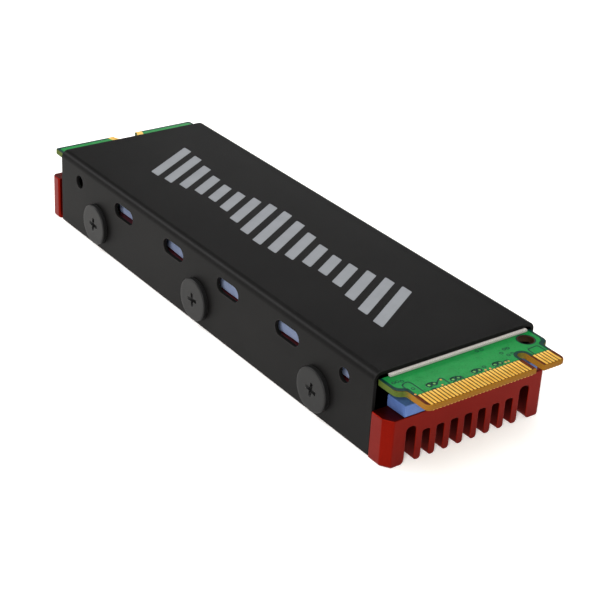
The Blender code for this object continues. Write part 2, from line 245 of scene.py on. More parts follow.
def loft(rings, along="Z"):
    """A bmesh through rings given as (outline, distance along the axis), closed at both ends."""
    made = bmesh.new()
    place = PLACING[along]
    loops = [[made.verts.new(Vector(place(u, v, w)) * MM) for u, v in ring] for ring, w in rings]
    made.faces.new(loops[0])
    made.faces.new(loops[-1])
    for lower, upper in zip(loops, loops[1:]):
        for i in range(len(lower)):
            j = (i + 1) % len(lower)
            made.faces.new((lower[i], lower[j], upper[j], upper[i]))
    return made


def edge_steps(edge, steps=3):
    """(inset, rise) pairs of a quarter-round edge, from the flat face to the side."""
    angles = [math.pi / 2 * i / steps for i in range(steps + 1)]
    return [(edge * (1 - math.sin(a)), edge * (1 - math.cos(a))) for a in angles]


def slab(outline, low, high, edge=0.0, along="Z", steps=3):
    """A prism of an anticlockwise outline, with rounded edges round both of its ends."""
    if edge == 0:
        return loft([(outline, low), (outline, high)], along)
    lower = [(offset(outline, -inset), low + rise) for inset, rise in edge_steps(edge, steps)]
    upper = [(ring, high + low - w) for ring, w in reversed(lower)]
    return loft(lower + upper, along)


def turned(profile, sides):
    """A bmesh of a profile of (radius, height) turned round Z. It starts and ends on the axis."""
    made = bmesh.new()
    start = made.verts.new((0, 0, profile[0][1] * MM))
    end = made.verts.new((0, 0, profile[-1][1] * MM))
    rings = []
    for radius, height in profile[1:-1]:
        outline = circle(2 * radius, sides=sides)
        rings.append([made.verts.new((u * MM, v * MM, height * MM)) for u, v in outline])
    for i in range(sides):
        j = (i + 1) % sides
        made.faces.new((start, rings[0][i], rings[0][j]))
        made.faces.new((end, rings[-1][j], rings[-1][i]))
        for lower, upper in zip(rings, rings[1:]):
            made.faces.new((lower[i], lower[j], upper[j], upper[i]))
    return made


def joined(meshes):
    """One bmesh holding several, as separate shells."""
    made = bmesh.new()
    for part in meshes:
        copy = bpy.data.meshes.new("part")
        part.to_mesh(copy)
        part.free()
        made.from_mesh(copy)
        bpy.data.meshes.remove(copy)
    return made


def add_object(name, made, finish=None, smooth_angle=40.0):
    """The object of a finished bmesh, with its faces facing out and its sharp edges marked."""
    bmesh.ops.recalc_face_normals(made, faces=made.faces)
    mesh = bpy.data.meshes.new(name)
    made.to_mesh(mesh)
    made.free()
    obj = bpy.data.objects.new(name, mesh)
    bpy.context.scene.collection.objects.link(obj)
    if finish:
        mesh.materials.append(finish)
    smooth(obj, smooth_angle)
    return obj


def smooth(obj, angle):
    """Shades an object smooth, with edges over this angle kept sharp."""
    obj.data.shade_smooth()
    obj.data.set_sharp_from_angle(angle=math.radians(angle))


def even_shading(obj):
    """Lets large faces set the normals, so that they stay flat next to small rounded edges."""
    modifier = obj.modifiers.new("even_shading", "WEIGHTED_NORMAL")
    modifier.keep_sharp = True


def cut(target, cutters, smooth_angle=40.0):
    """Cuts the target with each bmesh and keeps the result as its mesh."""
    tools = [add_object(f"{target.name}_cutter_{i}", cutter) for i, cutter in enumerate(cutters)]
    for tool in tools:
        modifier = target.modifiers.new(tool.name, "BOOLEAN")
        modifier.operation = "DIFFERENCE"
        modifier.solver = "EXACT"
        modifier.object = tool
    graph = bpy.context.evaluated_depsgraph_get()
    result = bpy.data.meshes.new_from_object(target.evaluated_get(graph))
    target.modifiers.clear()
    target.data = result
    for tool in tools:
        bpy.data.objects.remove(tool)
    smooth(target, smooth_angle)


def through_cutter(outline, low, high, flare, along, margin=1.0):
    """A cutter through a wall from low to high that also eases the edges of its hole.

    No ring lies in the wall's own faces, where the cut could fail.
    """
    wide = offset(outline, flare)
    middle = offset(outline, flare * 0.3)
    rings = [
        (wide, low - margin),
        (wide, low - flare * 0.3),
        (middle, low + flare * 0.3),
        (outline, low + flare),
        (outline, high - flare),
        (middle, high - flare * 0.3),
        (wide, high + flare * 0.3),
        (wide, high + margin),
    ]
    return loft(rings, along)


def settle(piece, slot, *nodes, body="drive"):
    """Makes a piece ride on its body with even shading, and stand for its CAD nodes, which it hides. The slot
    is not used.
    """
    even_shading(piece)
    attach(piece, body)
    if nodes:
        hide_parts(*nodes)
    return piece


# ---------------------------------------------------------------- materials


class Finish:
    """A Principled material and short ways to add the nodes that drive it. Distances are in millimetres."""

    def __init__(self, name, roughness=0.5, metallic=0.0, ior=1.5):
        self.material = bpy.data.materials.new(name)
        self.material.use_nodes = True
        self.tree = self.material.node_tree
        self.shader = self.tree.nodes["Principled BSDF"]
        self.shader.inputs["Roughness"].default_value = roughness
        self.shader.inputs["Metallic"].default_value = metallic
        self.shader.inputs["IOR"].default_value = ior
        coordinates = self.tree.nodes.new("ShaderNodeTexCoord")
        self.place = coordinates.outputs["Object"]
        self.surface = None

    def link(self, output, socket):
        """Joins an output to an input."""
        self.tree.links.new(output, socket)

    def scaled(self, scale):
        """Object coordinates times a scale for each axis, per millimetre."""
        node = self.tree.nodes.new("ShaderNodeMapping")
        node.inputs["Scale"].default_value = [s / MM for s in scale]
        self.link(self.place, node.inputs["Vector"])
        return node.outputs["Vector"]

    def noise(self, scale, detail=3.0, roughness=0.55):
        """Noise from 0 to 1. The scale is one number, or one for each axis."""
        axes = (scale, scale, scale) if isinstance(scale, (int, float)) else scale
        node = self.tree.nodes.new("ShaderNodeTexNoise")
        node.inputs["Scale"].default_value = 1.0
        node.inputs["Detail"].default_value = detail
        node.inputs["Roughness"].default_value = roughness
        self.link(self.scaled(axes), node.inputs["Vector"])
        return node.outputs["Fac"]

    def wave(self, direction, scale, distortion=0.0, detail=2.0):
        """Parallel bands across one axis, or diagonally."""
        node = self.tree.nodes.new("ShaderNodeTexWave")
        node.bands_direction = direction
        node.inputs["Scale"].default_value = scale
        node.inputs["Distortion"].default_value = distortion
        node.inputs["Detail"].default_value = detail
        self.link(self.scaled((1, 1, 1)), node.inputs["Vector"])
        return node.outputs["Fac"]

    def cells(self, scale):
        """Distance to the nearest cell centre."""
        node = self.tree.nodes.new("ShaderNodeTexVoronoi")
        node.inputs["Scale"].default_value = 1.0
        self.link(self.scaled((scale, scale, scale)), node.inputs["Vector"])
        return node.outputs["Distance"]

    def axis(self, index):
        """One object coordinate, in millimetres."""
        node = self.tree.nodes.new("ShaderNodeSeparateXYZ")
        self.link(self.scaled((1, 1, 1)), node.inputs["Vector"])
        return node.outputs[index]

    def wear(self, reach=0.12):
        """0 on flat stretches and 1 along edges, where the coating is rubbed."""
        soft = self.tree.nodes.new("ShaderNodeBevel")
        soft.samples = 4
        soft.inputs["Radius"].default_value = reach * MM
        flat = self.tree.nodes.new("ShaderNodeNewGeometry")
        turn = self.tree.nodes.new("ShaderNodeVectorMath")
        turn.operation = "DOT_PRODUCT"
        self.link(soft.outputs["Normal"], turn.inputs[0])
        self.link(flat.outputs["Normal"], turn.inputs[1])
        return self.remap(turn.outputs["Value"], 0.99, 0.88, 0.0, 1.0)

    def remap(self, value, low, high, new_low, new_high):
        """A value moved from one range to another, kept inside it."""
        node = self.tree.nodes.new("ShaderNodeMapRange")
        node.inputs["From Min"].default_value = low
        node.inputs["From Max"].default_value = high
        node.inputs["To Min"].default_value = new_low
        node.inputs["To Max"].default_value = new_high
        self.link(value, node.inputs["Value"])
        return node.outputs["Result"]

    def math(self, operation, a, b):
        """One sum of two outputs or numbers."""
        node = self.tree.nodes.new("ShaderNodeMath")
        node.operation = operation
        for socket, value in zip(node.inputs, (a, b)):
            if isinstance(value, (int, float)):
                socket.default_value = value
            else:
                self.link(value, socket)
        return node.outputs["Value"]

    def ramp(self, value, stops):
        """Colours against a value: stops are (position, colour)."""
        node = self.tree.nodes.new("ShaderNodeValToRGB")
        elements = node.color_ramp.elements
        while len(elements) < len(stops):
            elements.new(0.5)
        for element, (position, colour) in zip(elements, stops):
            element.position = position
            element.color = (*colour, 1.0)
        self.link(value, node.inputs["Fac"])
        return node.outputs["Color"]

    def mix(self, share, first, second, blend="MIX"):
        """Two colours mixed by a share. Each colour is an output or three numbers."""
        node = self.tree.nodes.new("ShaderNodeMix")
        node.data_type = "RGBA"
        node.blend_type = blend
        for socket, value in zip((node.inputs[0], node.inputs[6], node.inputs[7]), (share, first, second)):
            if isinstance(value, (int, float)):
                socket.default_value = value
            elif isinstance(value, tuple):
                socket.default_value = (*value, 1.0)
            else:
                self.link(value, socket)
        return node.outputs[2]

    def colour(self, output):
        """Gives the surface its colour."""
        self.link(output, self.shader.inputs["Base Color"])

    def roughness(self, output):
        """Gives the surface its roughness."""
        self.link(output, self.shader.inputs["Roughness"])

    def bump(self, height, depth, strength=1.0):
        """Adds relief of a depth in millimetres, on top of any added before."""
        node = self.tree.nodes.new("ShaderNodeBump")
        node.inputs["Strength"].default_value = strength
        node.inputs["Distance"].default_value = depth * MM
        self.link(height, node.inputs["Height"])
        if self.surface:
            self.link(self.surface, node.inputs["Normal"])
        self.surface = node.outputs["Normal"]
        self.link(self.surface, self.shader.inputs["Normal"])

    def set(self, socket, value):
        """Sets one of the shader's own values, the same all over."""
        self.shader.inputs[socket].default_value = value


def black_sheet():
    """Satin black coating with a fine grain, rubbed slightly lighter along its edges."""
    finish = Finish("black_sheet", ior=1.13)
    grain = finish.noise(9.0, 4.0)
    patches = finish.noise(0.12, 2.0)
    tone = finish.remap(finish.math("ADD", grain, patches), 0.6, 1.4, 0.0, 1.0)
    base = finish.ramp(tone, [(0.0, (0.0042, 0.0040, 0.0040)), (1.0, (0.0072, 0.0069, 0.0067))])
    finish.colour(finish.mix(finish.wear(), base, (0.030, 0.029, 0.028)))
    finish.roughness(finish.remap(grain, 0.3, 0.7, 0.40, 0.50))
    finish.bump(grain, 0.006, 0.5)
    return finish.material


def red_anodised():
    """Red anodised aluminium with fine lines along the extrusion."""
    finish = Finish("red_anodised", metallic=1.0)
    lines = finish.noise((0.15, 14.0, 14.0), 3.0)
    grain = finish.noise(16.0, 3.0)
    patches = finish.noise(0.25, 2.0)
    tone = finish.math("ADD", finish.math("MULTIPLY", lines, 0.6), finish.math("MULTIPLY", patches, 0.4))
    tone = finish.remap(tone, 0.3, 0.7, 0.0, 1.0)
    base = finish.ramp(tone, [(0.0, (0.140, 0.0042, 0.0018)), (1.0, (0.190, 0.0068, 0.0028))])
    finish.colour(finish.mix(finish.wear(), base, (0.30, 0.022, 0.010)))
    finish.roughness(finish.remap(grain, 0.3, 0.7, 0.40, 0.50))
    finish.bump(lines, 0.006, 0.4)
    finish.bump(grain, 0.003, 0.4)
    return finish.material


def solder_mask():
    """Glossy green solder mask over copper, with the glass weave showing faintly through."""
    finish = Finish("solder_mask", ior=1.2)
    weave = finish.math("MULTIPLY", finish.wave("X", 1.3, 0.6), finish.wave("Y", 1.3, 0.6))
    patches = finish.noise(0.9, 4.0)
    specks = finish.noise(5.0, 3.0)
    tone = finish.math("ADD", finish.math("MULTIPLY", patches, 0.45), finish.math("MULTIPLY", specks, 0.4))
    tone = finish.math("ADD", tone, finish.math("MULTIPLY", weave, 0.15))
    tone = finish.remap(tone, 0.28, 0.62, 0.0, 1.0)
    finish.colour(finish.ramp(tone, [(0.0, (0.0040, 0.140, 0.028)), (1.0, (0.0090, 0.225, 0.046))]))
    finish.roughness(finish.remap(specks, 0.3, 0.7, 0.26, 0.38))
    finish.bump(patches, 0.01, 0.3)
    finish.bump(specks, 0.003, 0.5)
    return finish.material


def grained(name, noise, stops, roughness, relief=None, metallic=0.0, ior=1.5):
    """A material that one noise drives: colour between two stops, roughness, and relief.

    noise gives its scale and detail, roughness is one value or a (low, high) range, and relief is
    (depth, strength).
    """
    varied = isinstance(roughness, tuple)
    finish = Finish(name, 0.5 if varied else roughness, metallic, ior)
    grain = finish.noise(*noise)
    finish.colour(finish.ramp(grain, stops))
    if varied:
        finish.roughness(finish.remap(grain, 0.3, 0.7, *roughness))
    if relief:
        finish.bump(grain, *relief)
    return finish.material


def dark_mask():
    """Solder mask where no copper lies under it, which looks a deeper green."""
    stops = [(0.3, (0.0010, 0.018, 0.015)), (0.7, (0.0025, 0.034, 0.026))]
    return grained("dark_mask", (6.0, 2.0), stops, 0.35, (0.002, 0.4), ior=1.2)


def via_pads():
    """Mask dipping over the filled vias, yellower than round them."""
    stops = [(0.35, (0.030, 0.19, 0.030)), (0.65, (0.12, 0.30, 0.035))]
    return grained("via_pads", (4.0, 2.0), stops, 0.3, (0.004, 0.5))


def painted_copper_highlight():
    """Pale green arcs that stand for light caught by the copper's edge: a painted highlight."""
    stops = [(0.3, (0.055, 0.25, 0.105)), (0.7, (0.12, 0.36, 0.17))]
    return grained("painted_copper_highlight", (5.0, 2.0), stops, 0.3, (0.003, 0.5))


def laminate():
    """The cut edge and bare face of the glass laminate: golden at the tongue, olive along the shoulders, and
    darkened with painted shade inside the tooling hole.
    """
    finish = Finish("laminate", ior=1.15)
    layers = finish.wave("Z", 1.9, 1.2)
    fibres = finish.noise((2.5, 2.5, 14.0), 4.0)
    tone = finish.math("ADD", finish.math("MULTIPLY", layers, 0.35), finish.math("MULTIPLY", fibres, 0.65))
    tongue = finish.ramp(tone, [(0.25, (0.150, 0.060, 0.006)), (0.75, (0.300, 0.135, 0.014))])
    flank = finish.ramp(tone, [(0.25, (0.035, 0.060, 0.010)), (0.75, (0.085, 0.115, 0.018))])
    bare = finish.ramp(fibres, [(0.3, (0.050, 0.010, 0.004)), (0.7, (0.115, 0.024, 0.008))])
    forward = finish.remap(finish.axis(0), TIP_X - TONGUE_LENGTH, TIP_X - 2.6, 0.0, 1.0)
    edge = finish.mix(forward, flank, tongue)
    geometry = finish.tree.nodes.new("ShaderNodeNewGeometry")
    split = finish.tree.nodes.new("ShaderNodeSeparateXYZ")
    finish.link(geometry.outputs["Normal"], split.inputs["Vector"])
    flat = finish.remap(finish.math("ABSOLUTE", split.outputs["Z"], 0.0), 0.90, 0.99, 0.0, 1.0)
    # Painted shade: the tooling hole's wall is coloured dark brown by its distance from the hole's axis.
    along = finish.math("SUBTRACT", finish.axis(0), TIP_X - TOOLING_HOLE_FROM_TIP)
    across = finish.math("SUBTRACT", finish.axis(1), TOOLING_HOLE_Y)
    squares = [finish.math("MULTIPLY", distance, distance) for distance in (along, across)]
    hole_shade_share = finish.remap(finish.math("ADD", *squares), 1.0, 1.2, 1.0, 0.0)
    painted_hole_shade = finish.ramp(fibres, [(0.3, (0.012, 0.006, 0.003)), (0.7, (0.035, 0.018, 0.008))])
    edge = finish.mix(hole_shade_share, edge, painted_hole_shade)
    finish.colour(finish.mix(flat, edge, bare))
    finish.roughness(finish.remap(fibres, 0.3, 0.7, 0.45, 0.65))
    finish.bump(fibres, 0.01, 0.6)
    return finish.material


def gold():
    """Hard gold plating with faint marks along the sliding direction."""
    finish = Finish("gold", metallic=0.6)
    marks = finish.noise((0.5, 9.0, 9.0), 2.0)
    patches = finish.noise(0.8, 2.0)
    finish.colour(finish.ramp(patches, [(0.3, (0.94, 0.52, 0.065)), (0.7, (1.0, 0.64, 0.12))]))
    finish.roughness(finish.remap(marks, 0.3, 0.7, 0.26, 0.38))
    finish.bump(marks, 0.002, 0.3)
    return finish.material


def bare_copper():
    """Small bare spots of tinned copper."""
    stops = [(0.3, (0.75, 0.24, 0.05)), (0.7, (0.95, 0.42, 0.12))]
    return grained("bare_copper", (5.0, 2.0), stops, (0.3, 0.45), metallic=0.7)


def blue_silicone():
    """Soft blue thermal silicone: matt, slightly mottled, with painted light making it paler except at its
    front end.
    """
    finish = Finish("blue_silicone", ior=1.3)
    mottle = finish.noise(1.6, 4.0)
    filler = finish.noise(18.0, 2.0)
    lines = finish.wave("Z", 1.4, 1.5)
    tone = finish.math("ADD", finish.math("MULTIPLY", mottle, 0.8), finish.math("MULTIPLY", lines, 0.2))
    body = finish.ramp(tone, [(0.25, (0.060, 0.115, 0.300)), (0.8, (0.092, 0.160, 0.385))])
    # Painted light: the pad is coloured paler from 4.5 mm behind its front end backwards, where light falls
    # through the cover's slots.
    painted_light_tone = finish.ramp(tone, [(0.25, (0.34, 0.42, 0.66)), (0.8, (0.46, 0.54, 0.76))])
    painted_light_share = finish.remap(finish.axis(0), LOWER_PAD_HIGH.x - 7.0, LOWER_PAD_HIGH.x - 4.5, 1.0, 0.0)
    finish.colour(finish.mix(painted_light_share, body, painted_light_tone))
    finish.roughness(finish.remap(filler, 0.3, 0.7, 0.5, 0.68))
    finish.bump(mottle, 0.02, 0.4)
    finish.bump(filler, 0.006, 0.4)
    return finish.material


def grey_silicone():
    """Light grey thermal pad with the diagonal weave of its glass-cloth carrier."""
    finish = Finish("grey_silicone", ior=1.41)
    weave = finish.math("ADD", finish.wave("DIAGONAL", 2.6, 2.5), finish.noise(4.0, 4.0))
    filler = finish.noise(14.0, 2.0)
    shade = finish.math("MULTIPLY", weave, 0.5)
    finish.colour(finish.ramp(shade, [(0.2, (0.33, 0.31, 0.285)), (0.7, (0.58, 0.55, 0.51))]))
    finish.roughness(finish.remap(filler, 0.3, 0.7, 0.55, 0.75))
    finish.bump(weave, 0.008, 0.5)
    finish.bump(filler, 0.006, 0.5)
    return finish.material


def print_ink():
    """Light grey pad-printed ink with a slight grain."""
    finish = Finish("print_ink", ior=1.3)
    grain = finish.noise(10.0, 3.0)
    patches = finish.noise(0.4, 2.0)
    tone = finish.math("ADD", finish.math("MULTIPLY", grain, 0.4), finish.math("MULTIPLY", patches, 0.6))
    finish.colour(finish.ramp(tone, [(0.3, (0.195, 0.203, 0.216)), (0.7, (0.228, 0.238, 0.252))]))
    finish.roughness(finish.remap(grain, 0.3, 0.7, 0.5, 0.62))
    finish.bump(grain, 0.003, 0.5)
    return finish.material


def black_steel():
    """Black oxide steel with a fine grain and edges rubbed brighter."""
    finish = Finish("black_steel", metallic=0.8, ior=1.2)
    grain = finish.noise(10.0, 4.0)
    base = finish.ramp(grain, [(0.3, (0.016, 0.016, 0.016)), (0.7, (0.025, 0.025, 0.025))])
    finish.colour(finish.mix(finish.wear(0.06), base, (0.085, 0.085, 0.083)))
    finish.roughness(finish.remap(grain, 0.3, 0.7, 0.40, 0.52))
    finish.bump(grain, 0.004, 0.4)
    return finish.material


def black_moulding():
    """Matt epoxy moulding compound, finely pitted."""
    finish = Finish("black_moulding")
    pits = finish.cells(9.0)
    grain = finish.noise(12.0, 3.0)
    finish.colour(finish.ramp(grain, [(0.3, (0.013, 0.013, 0.015)), (0.7, (0.026, 0.026, 0.028))]))
    finish.roughness(finish.remap(pits, 0.0, 0.7, 0.48, 0.66))
    finish.bump(pits, 0.006, 0.6)
    return finish.material


def chip_substrate():
    """The thin green-brown substrate under a moulded chip."""
    stops = [(0.3, (0.03, 0.06, 0.02)), (0.7, (0.07, 0.10, 0.03))]
    return grained("chip_substrate", ((3.0, 3.0, 12.0), 3.0), stops, 0.45, (0.004, 0.5))


def solder():
    """Tin solder: bright, slightly grainy."""
    stops = [(0.3, (0.52, 0.52, 0.50)), (0.7, (0.68, 0.68, 0.66))]
    return grained("solder", (7.0, 3.0), stops, (0.25, 0.42), (0.01, 0.4), metallic=1.0)


def tan_ceramic():
    """Fired capacitor ceramic."""
    stops = [(0.3, (0.33, 0.21, 0.11)), (0.7, (0.48, 0.33, 0.19))]
    return grained("tan_ceramic", (9.0, 4.0), stops, (0.4, 0.55), (0.006, 0.5))


def resistor_film():
    """Black glass overcoat of a chip resistor."""
    stops = [(0.3, (0.012, 0.012, 0.014)), (0.7, (0.03, 0.03, 0.034))]
    return grained("resistor_film", (10.0, 3.0), stops, (0.25, 0.4), (0.004, 0.4))


def white_alumina():
    """The white ceramic body of a resistor or crystal base."""
    stops = [(0.3, (0.62, 0.61, 0.57)), (0.7, (0.78, 0.77, 0.73))]
    return grained("white_alumina", (9.0, 3.0), stops, (0.5, 0.65), (0.004, 0.5))


def grey_ferrite():
    """Moulded iron-powder inductor body."""
    stops = [(0.3, (0.055, 0.055, 0.058)), (0.7, (0.12, 0.12, 0.12))]
    return grained("grey_ferrite", (14.0, 4.0, 0.7), stops, (0.5, 0.7), (0.01, 0.6))


def crystal_can():
    """The plated metal lid of the crystal."""
    stops = [(0.3, (0.62, 0.58, 0.50)), (0.7, (0.75, 0.71, 0.62))]
    return grained("crystal_can", ((0.8, 14.0, 14.0), 3.0), stops, (0.22, 0.36), (0.004, 0.4), metallic=1.0)


# ---------------------------------------------------------------- heat sink


def sink_profile():
    """The heat sink's cross-section in Y and Z: a flat top, and fins between slots that open downwards."""
    half = SINK_HIGH.y
    top = SINK_HIGH.z
    slots = [(-END_SLOT_Y, END_SLOT_WIDTH, END_SLOT_DEPTH, END_SLOT_RADIUS)]
    for i in range(FIN_SLOT_COUNT):
        y = (i - (FIN_SLOT_COUNT - 1) / 2) * FIN_PITCH
        slots.append((y, FIN_SLOT_WIDTH, FIN_SLOT_DEPTH, FIN_TOP_RADIUS))
    slots.append((END_SLOT_Y, END_SLOT_WIDTH, END_SLOT_DEPTH, END_SLOT_RADIUS))
    corners = [(-half, top, TOP_EDGE), (-half, 0.0, WALL_OUTER_RADIUS)]
    for i, (y, width, depth, radius) in enumerate(slots):
        first, last = i == 0, i == len(slots) - 1
        low, high = y - width / 2, y + width / 2
        corners.append((low, 0.0, WALL_INNER_RADIUS if first else FIN_TIP_RADIUS))
        corners.append((low, depth, radius))
        corners.append((high, depth, radius))
        corners.append((high, 0.0, WALL_INNER_RADIUS if last else FIN_TIP_RADIUS))
    corners += [(half, 0.0, WALL_OUTER_RADIUS), (half, top, TOP_EDGE)]
    return rounded(corners)


def sink_half_plan():
    """The heat sink's half width along X: wide ends, a waist for the cover's walls, and eased corners."""
    half, waist = SINK_HIGH.y, WAIST_WIDTH / 2
    along, across = FRONT_CHAMFER
    waist_low, waist_high = COVER_LOW.x - WAIST_BACK_GAP, COVER_HIGH.x + WAIST_FRONT_GAP
    corners = [
        (SINK_LOW.x, 0.0, 0),
        (SINK_HIGH.x, 0.0, 0),
        (SINK_HIGH.x, half - across, FRONT_CHAMFER_RADIUS),
        (SINK_HIGH.x - along, half, FRONT_CHAMFER_RADIUS),
        (waist_high, half, SINK_EDGE),
        (waist_high - WAIST_SLANT, waist, 0),
        (waist_low + WAIST_SLANT, waist, 0),
        (waist_low, half, 0.3),
        (SINK_LOW.x, half, FAR_CORNER_RADIUS),
    ]
    return sorted((round(x, 4), y) for x, y in rounded(corners)[2:])


def half_width_at(plan, x):
    """The plan's half width at an X, between its two nearest points."""
    for (x_low, low), (x_high, high) in zip(plan, plan[1:]):
        if x_low <= x < x_high:
            return low + (high - low) * (x - x_low) / (x_high - x_low)
    return plan[-1][1]


def sink_section(profile, half, trim):
    """The profile with its outer walls drawn in to a half width, and trimmed by the end's rounding."""
    inner = END_SLOT_Y + END_SLOT_WIDTH / 2
    share = (half - inner) / (SINK_HIGH.y - inner)
    moved = []
    for y, z in profile:
        if abs(y) > inner:
            y = math.copysign(inner + (abs(y) - inner) * share, y)
        moved.append((y, z))
    return offset(moved, -trim)


def make_heat_sink(finish):
    """The finned heat sink with its waist, rounded edges, access notch and tapped holes."""
    profile, plan = sink_profile(), sink_half_plan()
    stations = {x for x, _ in plan}
    for _, rise in edge_steps(SINK_EDGE):
        stations |= {round(SINK_LOW.x + rise, 4), round(SINK_HIGH.x - rise, 4)}
    rings = []
    for x in sorted(stations):
        rim = SINK_EDGE - min(max(x - SINK_LOW.x, 0.0), max(SINK_HIGH.x - x, 0.0), SINK_EDGE)
        trim = SINK_EDGE - math.sqrt(SINK_EDGE**2 - rim**2)
        rings.append((sink_section(profile, half_width_at(plan, x), trim), x))
    sink = add_object("heat_sink_body", loft(rings, "X"), finish)
    notch = rectangle(2 * ACCESS_NOTCH_DEPTH, ACCESS_NOTCH_WIDTH, ACCESS_NOTCH_RADIUS, (SINK_LOW.x, 0), 10)
    cutters = [through_cutter(notch, 0.0, SINK_HIGH.z, SINK_EDGE, "Z")]
    inner, outer = END_SLOT_Y + END_SLOT_WIDTH / 2, WAIST_WIDTH / 2
    for offset_x in SCREW_OFFSETS:
        hole = circle(TAPPED_HOLE_DIAMETER, (COVER_X + offset_x, SCREW_Z))
        cutters.append(through_cutter(hole, inner, outer, SINK_EDGE, "Y", 0.4))
        cutters.append(through_cutter(hole, -outer, -inner, SINK_EDGE, "Y", 0.4))
    cut(sink, cutters, 20.0)
    settle(sink, "heat_sink", "heat_sink")


# ---------------------------------------------------------------- cover


def cover_profile():
    """The folded sheet's cross-section in Y and Z."""
    y_out, y_in = COVER_HIGH.y, COVER_HIGH.y - SHEET
    inside = COVER_TOP - SHEET
    corners = [
        (-y_out, COVER_LOW.z, COVER_EDGE),
        (-y_in, COVER_LOW.z, COVER_EDGE),
        (-y_in, inside, COVER_BEND_RADIUS - SHEET),
        (y_in, inside, COVER_BEND_RADIUS - SHEET),
        (y_in, COVER_LOW.z, COVER_EDGE),
        (y_out, COVER_LOW.z, COVER_EDGE),
        (y_out, COVER_TOP, COVER_BEND_RADIUS),
        (-y_out, COVER_TOP, COVER_BEND_RADIUS),
    ]
    return rounded(corners, 10)


def make_cover(finish):
    """The folded cover, with every edge eased, its slots, vents and screw holes."""
    sheet = slab(cover_profile(), COVER_LOW.x, COVER_HIGH.x, COVER_EDGE, "X")
    cover = add_object("folded_cover", sheet, finish)
    openings = []
    for offset_x in SLOT_OFFSETS:
        middle = (COVER_X + offset_x, OPENING_HEIGHT)
        openings.append(rectangle(SLOT_LENGTH, SLOT_HEIGHT, SLOT_HEIGHT / 2 - 0.005, middle, 14))
    for offset_x in VENT_OFFSETS:
        openings.append(circle(VENT_DIAMETER, (COVER_X + offset_x, OPENING_HEIGHT)))
    for offset_x in SCREW_OFFSETS:
        openings.append(circle(SCREW_CLEARANCE_DIAMETER, (COVER_X + offset_x, SCREW_Z)))
    y_out, y_in = COVER_HIGH.y, COVER_HIGH.y - SHEET
    cutters = [through_cutter(outline, y_in, y_out, OPENING_EDGE, "Y", 0.4) for outline in openings]
    cutters += [through_cutter(outline, -y_out, -y_in, OPENING_EDGE, "Y", 0.4) for outline in openings]
    cut(cover, cutters, 35.0)
    settle(cover, "cover", "cover")


def make_print(finish):
    """A plain row of slanted bars whose lengths rise and fall like a wave."""
    bars = []
    first, last = BAR_SPAN
    for i in range(BAR_COUNT):
        share = i / (BAR_COUNT - 1)
        x = first + (last - first) * share
        swell = math.cos(2 * math.pi * share) ** 2
        reach = BAR_HALF_LENGTH * (BAR_SHORTEST + (1 - BAR_SHORTEST) * swell)
        corners = []
        for side, y in ((-1, -reach), (1, -reach), (1, reach), (-1, reach)):
            corners.append((x - y * BAR_SLANT + side * BAR_WIDTH / 2, PRINT_Y + y, BAR_CORNER_RADIUS))
        bars.append(slab(rounded(corners, 3), COVER_TOP, COVER_TOP + PRINT_THICKNESS, PRINT_EDGE, steps=1))
    piece = add_object("cover_print", joined(bars), finish)
    settle(piece, "cover")


# ---------------------------------------------------------------- board


def board_outline(tip_x, inset=0.0):
    """The board's outline, with its tongue cut off square at a given X."""
    shoulder_x = TIP_X - TONGUE_LENGTH - inset
    half = BOARD_HIGH.y - inset
    tongue = TONGUE_WIDTH / 2 - inset
    far_x = FAR_X + inset
    key_low, key_high = KEY_Y - KEY_WIDTH / 2 - inset, KEY_Y + KEY_WIDTH / 2 + inset
    key_x = TIP_X - KEY_DEPTH - inset
    key_radius = KEY_WIDTH / 2 + inset - 0.01
    tip_radius = TONGUE_CORNER_RADIUS if tip_x > TIP_X - 0.5 else 0.05
    moon = HALF_MOON_RADIUS + inset
    reach = math.degrees(math.acos(inset / moon))
    corners = [
        (far_x, -half, BOARD_CORNER_RADIUS),
        (shoulder_x, -half, SHOULDER_RADIUS),
        (shoulder_x, -tongue, SHOULDER_INNER_RADIUS),
        (tip_x, -tongue, tip_radius),
        (tip_x, key_low, 0.05),
        (key_x, key_low, key_radius),
        (key_x, key_high, key_radius),
        (tip_x, key_high, 0.05),
        (tip_x, tongue, tip_radius),
        (shoulder_x, tongue, SHOULDER_INNER_RADIUS),
        (shoulder_x, half, SHOULDER_RADIUS),
        (far_x, half, BOARD_CORNER_RADIUS),
    ]
    half_moon = arc((FAR_X, 0), moon, reach, -reach, 24)
    return rounded(corners) + half_moon


def hole_cutter(diameter, low, high):
    """A straight cutter for the tooling hole."""
    middle = (TIP_X - TOOLING_HOLE_FROM_TIP, TOOLING_HOLE_Y)
    return loft([(circle(diameter, middle), low), (circle(diameter, middle), high)])


def make_laminate(finish):
    """The bare laminate, its tongue slightly chamfered for the socket."""
    low, high = BOARD_BOTTOM + MASK_THICKNESS, BOARD_TOP - MASK_THICKNESS
    lower = []
    for rise, back, inset in TONGUE_CHAMFER:
        lower.append((board_outline(TIP_X - back, inset), low + rise))
    rings = lower + [(ring, high + low - z) for ring, z in reversed(lower)]
    board = add_object("board_laminate", loft(rings), finish)
    cut(board, [hole_cutter(TOOLING_HOLE_DIAMETER, BOARD_LOW.z - 1, BOARD_HIGH.z + 1)], 30.0)
    settle(board, "circuit_board", "circuit_board")


